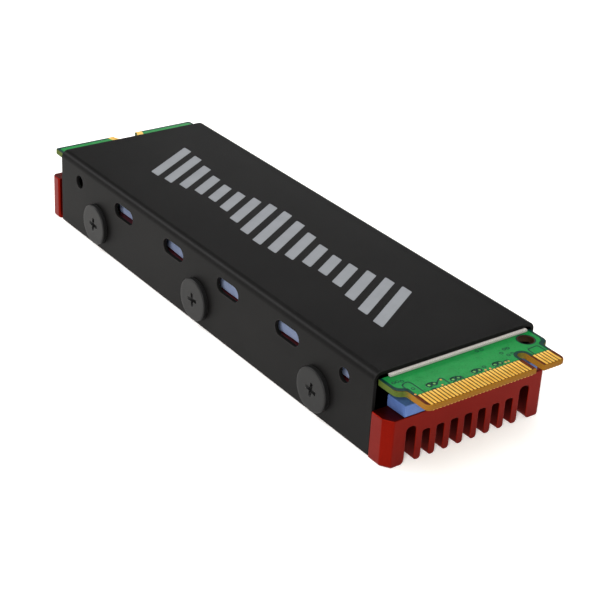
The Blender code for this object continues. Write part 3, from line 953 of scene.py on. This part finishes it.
def make_masks(bare_finish, copper_finish):
    """Solder mask on both faces: a dark sheet over bare laminate, raised and brighter over the copper."""
    sheet = board_outline(TIP_X - CONTACT_ROOT, MASK_INSET)
    copper = board_outline(TIP_X - CONTACT_ROOT - 0.12, COPPER_INSET)
    top, bottom = BOARD_TOP - COPPER_RELIEF, BOARD_BOTTOM + COPPER_RELIEF
    thickness = MASK_THICKNESS - COPPER_RELIEF
    layers = (
        ("solder_mask_top", sheet, top - thickness, top, bare_finish, 0.15),
        ("solder_mask_bottom", sheet, bottom, bottom + thickness, bare_finish, 0.15),
        ("copper_pour_top", copper, top - 0.01, BOARD_TOP, copper_finish, 0.45),
        ("copper_pour_bottom", copper, BOARD_BOTTOM, bottom + 0.01, copper_finish, 0.45),
    )
    for name, outline, low, high, finish, clearance in layers:
        mask = add_object(name, slab(outline, low, high, 0.007, steps=2), finish)
        cut(mask, [hole_cutter(TOOLING_HOLE_DIAMETER + clearance, low - 1, high + 1)], 30.0)
        settle(mask, "circuit_board")


def contact_rows():
    """The Y of every contact on the top and bottom faces."""
    top = [-9.25 + CONTACT_PITCH * i for i in range(29)] + [7.25 + CONTACT_PITCH * i for i in range(5)]
    bottom = [-9.0 + CONTACT_PITCH * i for i in range(29)] + [7.5 + CONTACT_PITCH * i for i in range(4)]
    return top, bottom


def make_contacts(finish):
    """Gold contacts, square at the root and rounded towards the tip."""
    top, bottom = contact_rows()
    root, end = TIP_X - CONTACT_ROOT - 0.04, TIP_X - CONTACT_END
    radius = CONTACT_WIDTH / 2 - 0.02
    upper_face, lower_face = BOARD_TOP - MASK_THICKNESS, BOARD_BOTTOM + MASK_THICKNESS
    faces = (
        ("contacts_top", top, upper_face, upper_face + CONTACT_THICKNESS),
        ("contacts_bottom", bottom, lower_face - CONTACT_THICKNESS, lower_face),
    )
    for name, row, low, high in faces:
        fingers = []
        for y in row:
            a, b = y - CONTACT_WIDTH / 2, y + CONTACT_WIDTH / 2
            corners = [(root, a, 0.02), (end, a, radius), (end, b, radius), (root, b, 0.02)]
            fingers.append(slab(rounded(corners, 4), low, high, 0.014, steps=2))
        settle(add_object(name, joined(fingers), finish), "circuit_board")


def land_outline():
    """The plated land round the half-moon."""
    inner, outer = HALF_MOON_RADIUS + LAND_INSET, LAND_RADIUS
    inner_end = math.degrees(math.acos(LAND_INSET / inner))
    outer_end = math.degrees(math.acos(LAND_INSET / outer))
    middle = (FAR_X, 0)
    return arc(middle, outer, -outer_end, outer_end, 28) + arc(middle, inner, inner_end, -inner_end, 28)


def make_land(finish):
    """The gold-plated land on both faces."""
    outline = land_outline()
    lands = [
        slab(outline, BOARD_TOP - 0.01, BOARD_HIGH.z, 0.012, steps=2),
        slab(outline, BOARD_LOW.z, BOARD_BOTTOM + 0.01, 0.012, steps=2),
    ]
    settle(add_object("half_moon_land", joined(lands), finish), "circuit_board")


def ribbon(points, width, low, high):
    """A flat strip along points, closed into a thin solid."""
    left, right = [], []
    for i, point in enumerate(points):
        here = Vector(point)
        before = Vector(points[max(i - 1, 0)])
        after = Vector(points[min(i + 1, len(points) - 1)])
        run = (after - before).normalized()
        side = Vector((-run.y, run.x)) * (width / 2)
        left.append(tuple(here + side))
        right.append(tuple(here - side))
    return loft([(right + left[::-1], low), (right + left[::-1], high)])


def soft_path(points, radius=0.25, steps=5):
    """An open path through points with its corners rounded."""
    path = [points[0]]
    for i in range(1, len(points) - 1):
        corner = Vector(points[i])
        back = Vector(points[i - 1]) - corner
        ahead = Vector(points[i + 1]) - corner
        reach = min(radius, back.length / 2, ahead.length / 2)
        start, end = corner + back.normalized() * reach, corner + ahead.normalized() * reach
        for k in range(steps + 1):
            t = k / steps
            path.append(tuple(start * (1 - t) ** 2 + corner * 2 * t * (1 - t) + end * t**2))
    path.append(points[-1])
    return path


def ring_strip(middle, diameter, width, low, high, sides=20):
    """A flat ring as a thin solid."""
    outer = circle(diameter + width, middle, sides)
    inner = circle(diameter - width, middle, sides)
    made = bmesh.new()
    loops = []
    for outline, z in ((inner, low), (outer, low), (outer, high), (inner, high)):
        loops.append([made.verts.new(Vector((u, v, z)) * MM) for u, v in outline])
    for k in range(4):
        first, second = loops[k], loops[(k + 1) % 4]
        for i in range(sides):
            j = (i + 1) % sides
            made.faces.new((first[i], first[j], second[j], second[i]))
    return made


GAP_WIDTH = 0.17
ART_RELIEF = 0.005

# Places on the top face, as (distance back from the contacts' tip, Y).
VIA_PAIRS = ((3.25, -7.15), (2.87, -4.1), (2.95, -1.0), (2.95, 2.02))
VIA_PAIR_SPACING = 0.74
SMALL_RINGS = (
    (5.0, 5.22), (5.0, 5.75), (4.5, 4.36), (3.8, 4.78), (3.85, 5.42),
    (6.25, 2.27), (6.25, 2.96), (5.6, -10.1), (5.6, -9.6), (5.42, -9.1), (3.62, -9.03), (3.2, 0.64),
)
TEST_POINTS = (
    (3.53, -5.27), (2.6, -5.82), (2.62, 0.33), (2.6, 1.0), (2.75, 3.41), (2.75, 3.85), (2.55, -9.6),
)
TRACES = (
    ((2.45, -8.44), (4.6, -8.46), (5.0, -8.6), (5.0, -9.15), (4.7, -9.7), (2.75, -9.75)),
    ((3.15, -6.1), (3.64, -5.56), (3.85, -5.13), (3.64, -4.93), (2.45, -4.9)),
    ((3.1, -2.95), (2.75, -2.88), (2.45, -2.93)),
    ((2.45, 7.45), (3.65, 7.5), (3.75, 9.1), (2.45, 9.12)),
    ((2.52, -7.45), (2.5, -6.75)),
    ((3.0, 3.25), (3.05, 4.0)),
)


def make_board_art(gap_finish, copper_finish, pad_finish, highlight_finish):
    """The top face's pattern near the contacts: gaps in the copper, filled vias, bare test points and pale
    arcs of painted highlight beside the via pairs.
    """
    low, high = BOARD_TOP - 0.004, BOARD_TOP + ART_RELIEF
    gaps, points, pads, edges = [], [], [], []

    def at(back, y):
        return (TIP_X - back, y)

    def disc(back, y, diameter):
        outline = circle(diameter, at(back, y), 20)
        return loft([(outline, low), (outline, high + 0.003)])

    for back, y in VIA_PAIRS:
        for step, diameter in ((0.0, 0.62), (VIA_PAIR_SPACING, 0.56)):
            gaps.append(ring_strip(at(back, y + step), diameter, 0.2, low, high, 28))
            pads.append(disc(back, y + step, 0.3))
        middle = y + VIA_PAIR_SPACING / 2
        bridge = [at(back + 0.3, y - 0.1), at(back + 0.38, middle), at(back + 0.3, y + VIA_PAIR_SPACING)]
        gaps.append(ribbon(soft_path(bridge, 0.2), 0.2, low, high))
        # Painted highlight: a pale arc along one side of each via pair stands for light caught by the
        # copper's edge.
        highlight_arc = [at(back + 0.42, y - 0.05), at(back + 0.12, y - 0.46), at(back - 0.3, y - 0.3)]
        edges.append(ribbon(soft_path(highlight_arc, 0.4), 0.06, low, high))
    for trace in TRACES:
        path = soft_path([at(back, y) for back, y in trace], 0.3)
        gaps.append(ribbon(path, GAP_WIDTH, low, high))
    gaps += [ring_strip(at(back, y), 0.38, 0.11, low, high) for back, y in SMALL_RINGS]
    points += [disc(back, y, 0.26) for back, y in TEST_POINTS]
    rim = (TIP_X - TOOLING_HOLE_FROM_TIP, TOOLING_HOLE_Y)
    gaps.append(ring_strip(rim, TOOLING_HOLE_DIAMETER + 0.2, 0.1, low - 0.01, BOARD_TOP - 0.006, 40))
    settle(add_object("board_copper_gaps", joined(gaps), gap_finish), "circuit_board")
    settle(add_object("board_test_points", joined(points), copper_finish), "circuit_board")
    settle(add_object("board_via_pads", joined(pads), pad_finish), "circuit_board")
    settle(add_object("board_copper_highlights", joined(edges), highlight_finish), "circuit_board")


# ---------------------------------------------------------------- pads


def wavy_rectangle(low, high, waves, length_step=1.0):
    """A rectangle whose long sides wander in and out. waves gives (amplitude, length, shift) terms."""
    count = round((high.x - low.x) / length_step)
    xs = [low.x + (high.x - low.x) * i / count for i in range(count + 1)]

    def drift(x, side):
        phases = [(a, x / length + shift + side * 0.37) for a, length, shift in waves]
        return sum(a * math.sin(2 * math.pi * phase) for a, phase in phases)

    near = [(x, low.y + drift(x, 0)) for x in xs]
    far = [(x, high.y - drift(x, 1)) for x in reversed(xs)]
    return near + far


LOWER_PAD_SIDE_INSET = 0.3
LOWER_PAD_WAVES = ((0.22, 62.0, 0.66), (0.04, 17.0, 0.2), (0.015, 5.3, 0.4))
LOWER_PAD_EDGE = 0.05


def make_lower_pad(finish):
    """The thick blue pad, cut with a blade: nearly sharp edges, and sides that wander and swell slightly."""
    low, high = LOWER_PAD_LOW.copy(), LOWER_PAD_HIGH.copy()
    inset = Vector((0.02, LOWER_PAD_SIDE_INSET, 0))
    outline = wavy_rectangle(low + inset, high - inset, LOWER_PAD_WAVES)
    height = high.z - low.z
    levels = [(0.0, -LOWER_PAD_EDGE), (0.015, -0.4 * LOWER_PAD_EDGE), (0.05, 0.0)]
    levels += [(0.05 + 0.9 * i / 8, 0.03 * math.sin(math.pi * i / 8)) for i in range(1, 8)]
    levels += [(1.0 - share, move) for share, move in reversed(levels[:3])]
    rings = [(offset(outline, move), low.z + height * share) for share, move in levels]
    pad = add_object("lower_pad", loft(rings), finish, 40.0)
    settle(pad, "lower_pad", "lower_thermal_pad")


UPPER_PAD_WAVES = ((0.05, 23.0, 0.1), (0.025, 6.1, 0.7))


def make_upper_pad(finish):
    """The thin light pad, with a slightly ragged cut edge."""
    inset = Vector((0.02, 0.1, 0))
    outline = wavy_rectangle(UPPER_PAD_LOW + inset, UPPER_PAD_HIGH - inset, UPPER_PAD_WAVES)
    top = COVER_TOP - SHEET - 0.01
    pad = add_object("upper_pad", slab(outline, UPPER_PAD_LOW.z, top, 0.06), finish, 60.0)
    settle(pad, "upper_pad", "upper_thermal_pad")


# ---------------------------------------------------------------- soldered parts


def box_outline(low, high, inset=0.0, radius=0.1):
    """The plan of a node's box, drawn in by an inset."""
    width, height = high.x - low.x - 2 * inset, high.y - low.y - 2 * inset
    return rectangle(width, height, radius, ((low.x + high.x) / 2, (low.y + high.y) / 2), 4)


def ball_rows(low, high, pitch):
    """Centres of a solder-ball grid along the rim of a package."""
    inset = 0.7
    columns = int((high.x - low.x - 2 * inset) / pitch) + 1
    rows = int((high.y - low.y - 2 * inset) / pitch) + 1
    start_x = (low.x + high.x - (columns - 1) * pitch) / 2
    start_y = (low.y + high.y - (rows - 1) * pitch) / 2
    centres = []
    for i in range(columns):
        for j in range(rows):
            if i in (0, columns - 1) or j in (0, rows - 1):
                centres.append((start_x + i * pitch, start_y + j * pitch))
    return centres


def pin_dimple(low, high):
    """A shallow tapered cutter that marks the first pin."""
    middle = (low.x + PIN_DIMPLE_FROM_CORNER, low.y + PIN_DIMPLE_FROM_CORNER)
    reach = min(0.5, (high.x - low.x) / 8)
    return loft([(circle(2 * reach, middle, 32), low.z - 1), (circle(1.7 * reach, middle, 32), low.z + 0.05)])


def solder_ball(middle, height):
    """A squashed ball round a centre, as (radius, height) steps."""
    steps = [(0.16, -0.1), (0.2, -0.05), (0.21, 0.0), (0.2, 0.05), (0.16, 0.1)]
    return loft([(circle(2 * radius, middle, 8), height + rise * 1.1) for radius, rise in steps])


def make_chips(moulding, substrate, solder_finish):
    """Ball-grid chips: a moulded body with a pin-one dimple, on a thin substrate over solder balls."""
    balls = []
    for node in ("controller_chip", "dram_chip", "nand_flash_1", "nand_flash_2", "power_management_chip"):
        low, high = box_mm(node)
        base_low, base_high = (high.z - depth for depth in PACKAGE_BASE)
        body = slab(box_outline(low, high, 0.05, 0.12), low.z, base_low, 0.05)
        chip = add_object(f"{node}_body", body, moulding)
        cut(chip, [pin_dimple(low, high)])
        settle(chip, "chip_moulding", node)
        plate = slab(box_outline(low, high, 0.0, 0.08), base_low, base_high, 0.02, steps=1)
        settle(add_object(f"{node}_substrate", plate, substrate), "chip_moulding")
        middle_height = (base_high + high.z + SEAT) / 2
        balls += [solder_ball(middle, middle_height) for middle in ball_rows(low, high, BALL_PITCH)]
    settle(add_object("solder_balls", joined(balls), solder_finish), "chip_moulding")


def terminal(low, high, along_x, at_low, cover):
    """A metal cap over one end of a small part, slightly larger than its body."""
    a, b = low.copy(), high.copy()
    axis = 0 if along_x else 1
    if at_low:
        b[axis] = low[axis] + cover
    else:
        a[axis] = high[axis] - cover
    return slab(box_outline(a, b, 0.0, 0.05), low.z, high.z + SEAT, 0.04, steps=2)


def shrunk(low, high, amount):
    """A box drawn in on every side but its upper one, which meets the board."""
    step = Vector((amount, amount, amount))
    return low + step, high - Vector((amount, amount, 0.02))


def make_capacitors(ceramic, solder_finish):
    """Ceramic blocks with metal ends along Y."""
    for i in range(1, 9):
        node = f"capacitor_{i}"
        low, high = box_mm(node)
        body_low, body_high = shrunk(low, high, 0.025)
        body = slab(box_outline(body_low, body_high, 0, 0.06), body_low.z, body_high.z, 0.05)
        settle(add_object(f"{node}_body", body, ceramic), "ceramic", node)
        ends = joined([terminal(low, high, False, side, 0.32) for side in (True, False)])
        settle(add_object(f"{node}_ends", ends, solder_finish), "ceramic")


def make_resistors(alumina, film, solder_finish):
    """White ceramic chips with a black film on their outer face and metal ends along X."""
    for i in range(1, 5):
        node = f"resistor_{i}"
        low, high = box_mm(node)
        body_low, body_high = shrunk(low, high, 0.02)
        body = slab(box_outline(body_low, body_high, 0, 0.03), body_low.z + 0.03, body_high.z, 0.02, steps=1)
        settle(add_object(f"{node}_body", body, alumina), "resistor_film", node)
        margin = Vector((0.2, 0.02, 0))
        outline = box_outline(body_low + margin, body_high - margin, 0, 0.05)
        glass = slab(outline, low.z + 0.02, low.z + 0.06, 0.012, steps=1)
        settle(add_object(f"{node}_film", glass, film), "resistor_film")
        ends = joined([terminal(low, high, True, side, 0.2) for side in (True, False)])
        settle(add_object(f"{node}_ends", ends, solder_finish), "resistor_film")


def make_inductors(ferrite, solder_finish):
    """Moulded blocks on two solder feet."""
    for i in range(1, 3):
        node = f"inductor_{i}"
        low, high = box_mm(node)
        body = slab(box_outline(low, high, 0.03, 0.18), low.z, high.z - 0.1, 0.08)
        settle(add_object(f"{node}_body", body, ferrite), "ferrite", node)
        foot_low = Vector((low.x, low.y + 0.35, high.z - 0.3))
        foot_high = Vector((high.x, high.y - 0.35, high.z))
        feet = [terminal(foot_low, foot_high, True, side, 0.45) for side in (True, False)]
        settle(add_object(f"{node}_feet", joined(feet), solder_finish), "ferrite")


def make_crystal(alumina, can):
    """A ceramic base under a plated lid."""
    low, high = box_mm("crystal")
    base = slab(box_outline(low, high, 0.0, 0.1), low.z + 0.25, high.z, 0.03, steps=1)
    settle(add_object("crystal_base", base, alumina), "crystal_can", "crystal")
    lid = slab(box_outline(low, high, 0.14, 0.25), low.z, low.z + 0.27, 0.06)
    settle(add_object("crystal_lid", lid, can), "crystal_can")


# ---------------------------------------------------------------- screws


def screw_mesh():
    """A wafer head standing on Z, its origin at its underside, with a stub of shank and a cross recess."""
    head = HEAD_DIAMETER / 2
    rim = 0.16
    profile = [(0.0, -0.3), (THREAD_ROOT_RADIUS, -0.3), (THREAD_ROOT_RADIUS, 0.0)]
    profile += [(head - 0.06, 0.0), (head, 0.06)]
    for i in range(7):
        angle = math.pi / 2 * i / 6
        profile.append((head - rim * (1 - math.cos(angle)), HEAD_THICKNESS - rim * (1 - math.sin(angle))))
    profile += [(head - 0.5, HEAD_THICKNESS), (1.2, HEAD_THICKNESS), (0.0, HEAD_THICKNESS)]
    screw = add_object("screw_pattern", turned(profile, 96))
    arms = []
    for along_u in (True, False):
        rings = []
        for height, share in ((-RECESS_DEPTH, 0.45), (-RECESS_DEPTH * 0.8, 0.6), (0.0, 1.0), (0.5, 1.2)):
            length, width = RECESS_SPAN * share, RECESS_ARM_WIDTH * (0.6 + 0.4 * share)
            size = (length, width) if along_u else (width, length)
            rings.append((rectangle(*size, 0.08 * share + 0.02, steps=4), HEAD_THICKNESS + height))
        arms.append(loft(rings))
    cut(screw, arms, 35.0)
    return screw


def thread_mesh():
    """The threaded shank: a fine grid whose radius follows a helix."""
    sides, rows = 48, 78
    length = SHANK_LENGTH - 0.1
    made = bmesh.new()
    loops = []
    for row in range(rows + 1):
        depth = 0.05 + length * row / rows
        loop = []
        for i in range(sides):
            phase = (depth / THREAD_PITCH - i / sides) % 1.0
            crest = min(1.0, max(0.0, 1.25 - 2.5 * abs(phase - 0.5)))
            fade = min(1.0, (depth - 0.05) / 0.3, (length - depth + 0.05) / 0.35)
            radius = THREAD_ROOT_RADIUS + (THREAD_RADIUS - THREAD_ROOT_RADIUS) * crest * max(fade, 0.0)
            angle = 2 * math.pi * i / sides
            place = Vector((radius * math.cos(angle), radius * math.sin(angle), -depth))
            loop.append(made.verts.new(place * MM))
        loops.append(loop)
    for upper, lower in zip(loops, loops[1:]):
        for i in range(sides):
            j = (i + 1) % sides
            made.faces.new((upper[i], upper[j], lower[j], lower[i]))
    made.faces.new(loops[0])
    tip = [made.verts.new((v.co.x * 0.75, v.co.y * 0.75, -SHANK_LENGTH * MM)) for v in loops[-1]]
    for i in range(sides):
        j = (i + 1) % sides
        made.faces.new((loops[-1][i], loops[-1][j], tip[j], tip[i]))
    made.faces.new(tip)
    return made


def make_screws(finish):
    """Six screws, each turned a little differently."""
    pattern = screw_mesh()
    thread = add_object("thread_pattern", thread_mesh(), None, 50.0)
    both = bmesh.new()
    both.from_mesh(pattern.data)
    both.from_mesh(thread.data)
    mesh = bpy.data.meshes.new("wafer_screw")
    both.to_mesh(mesh)
    both.free()
    mesh.shade_smooth()
    mesh.set_sharp_from_angle(angle=math.radians(35))
    mesh.materials.append(finish)
    for old in (pattern, thread):
        bpy.data.objects.remove(old)
    for side, side_name in ((-1, "left"), (1, "right")):
        for i, offset_x in enumerate(SCREW_OFFSETS):
            node = f"screw_{side_name}_{i + 1}"
            low, high = box_mm(node)
            head_y = low.y + HEAD_THICKNESS if side < 0 else high.y - HEAD_THICKNESS
            piece = bpy.data.objects.new(f"{node}_detail", mesh)
            bpy.context.scene.collection.objects.link(piece)
            piece.location = Vector((COVER_X + offset_x, head_y, (low.z + high.z) / 2)) * MM
            outward = Quaternion((1, 0, 0), -side * math.pi / 2)
            spin = Quaternion((0, 0, 1), math.radians(SCREW_TURNS[i]) * side)
            piece.rotation_mode = "QUATERNION"
            piece.rotation_quaternion = outward @ spin
            settle(piece, "screw", node, body=node)


# ---------------------------------------------------------------- stage


FLOOR_SIZE = 4000.0
FLOOR_GLOW = 0.3
SURROUND_STRENGTH = 0.12
CAMERA_TARGET = (2.70, 0.90, 2.30)
CAMERA_DISTANCE = 197.52
CAMERA_AZIMUTH = 52.71
CAMERA_ELEVATION = 27.74
CAMERA_ROLL = 3.45
CAMERA_LENS = 93.58

# name, azimuth, elevation, distance, (width, height), power in watts
LIGHTS = (
    ("overhead", 0, 90, 900, (900, 900), 6.2),
    ("left_key", -56, 34, 800, (300, 200), 4.4),
    ("front_key", 44, 30, 800, (250, 250), 5.0),
    ("contact_glint", -135, 30, 600, (80, 60), 0.06),
    ("back_glow", -127, 17, 800, (300, 80), 0.28),
)


def direction(azimuth, elevation):
    """The direction from the object towards a place round it. Azimuth 0 is at -Y and 90 at +X."""
    a, e = math.radians(azimuth), math.radians(elevation)
    return Vector((math.sin(a) * math.cos(e), -math.cos(a) * math.cos(e), math.sin(e)))


def make_camera():
    """A camera with no shift, at the set place round the object."""
    camera = bpy.data.objects.new("camera", bpy.data.cameras.new("camera"))
    bpy.context.scene.collection.objects.link(camera)
    back = direction(CAMERA_AZIMUTH, CAMERA_ELEVATION)
    camera.location = (Vector(CAMERA_TARGET) + back * CAMERA_DISTANCE) * MM
    level = (-back).to_track_quat("-Z", "Y")
    camera.rotation_mode = "QUATERNION"
    camera.rotation_quaternion = level @ Quaternion((0, 0, 1), math.radians(CAMERA_ROLL))
    camera.data.lens = CAMERA_LENS
    camera.data.clip_start = 0.005
    camera.data.clip_end = 20.0
    bpy.context.scene.camera = camera


def add_light(name, azimuth, elevation, distance, size, power):
    """A soft rectangular light aimed at the object."""
    data = bpy.data.lights.new(name, "AREA")
    data.shape = "RECTANGLE"
    data.size, data.size_y = size[0] * MM, size[1] * MM
    data.energy = power
    light = bpy.data.objects.new(name, data)
    bpy.context.scene.collection.objects.link(light)
    back = direction(azimuth, elevation)
    light.location = back * distance * MM
    light.rotation_euler = (-back).to_track_quat("-Z", "Y").to_euler()


def make_stage():
    """A pale, faintly glowing floor, soft lights and a dim even surround."""
    floor_mesh = bmesh.new()
    bmesh.ops.create_grid(floor_mesh, x_segments=1, y_segments=1, size=FLOOR_SIZE / 2 * MM)
    paper = Finish("paper", roughness=0.9)
    tones = [(0.3, (0.93, 0.915, 0.89)), (0.7, (0.945, 0.93, 0.905))]
    paper.colour(paper.ramp(paper.noise(0.02, 3.0), tones))
    paper.set("Emission Color", (1.0, 0.98, 0.955, 1.0))
    paper.set("Emission Strength", FLOOR_GLOW)
    floor = add_object("floor", floor_mesh, paper.material)
    floor.location.z = -0.01 * MM
    for light in LIGHTS:
        add_light(*light)
    world = bpy.data.worlds.new("surround")
    bpy.context.scene.world = world
    world.use_nodes = True
    world.node_tree.nodes["Background"].inputs["Color"].default_value = (1.0, 1.0, 1.0, 1.0)
    world.node_tree.nodes["Background"].inputs["Strength"].default_value = SURROUND_STRENGTH
    bpy.context.scene.view_settings.view_transform = "Standard"


def main():
    make_camera()
    make_stage()
    gold_finish, solder_finish, gaps = gold(), solder(), dark_mask()
    make_heat_sink(red_anodised())
    make_cover(black_sheet())
    make_print(print_ink())
    make_laminate(laminate())
    make_masks(gaps, solder_mask())
    make_contacts(gold_finish)
    make_land(gold_finish)
    make_board_art(gaps, bare_copper(), via_pads(), painted_copper_highlight())
    make_lower_pad(blue_silicone())
    make_upper_pad(grey_silicone())
    make_chips(black_moulding(), chip_substrate(), solder_finish)
    alumina = white_alumina()
    make_capacitors(tan_ceramic(), solder_finish)
    make_resistors(alumina, resistor_film(), solder_finish)
    make_inductors(grey_ferrite(), solder_finish)
    make_crystal(alumina, crystal_can())
    make_screws(black_steel())


main()
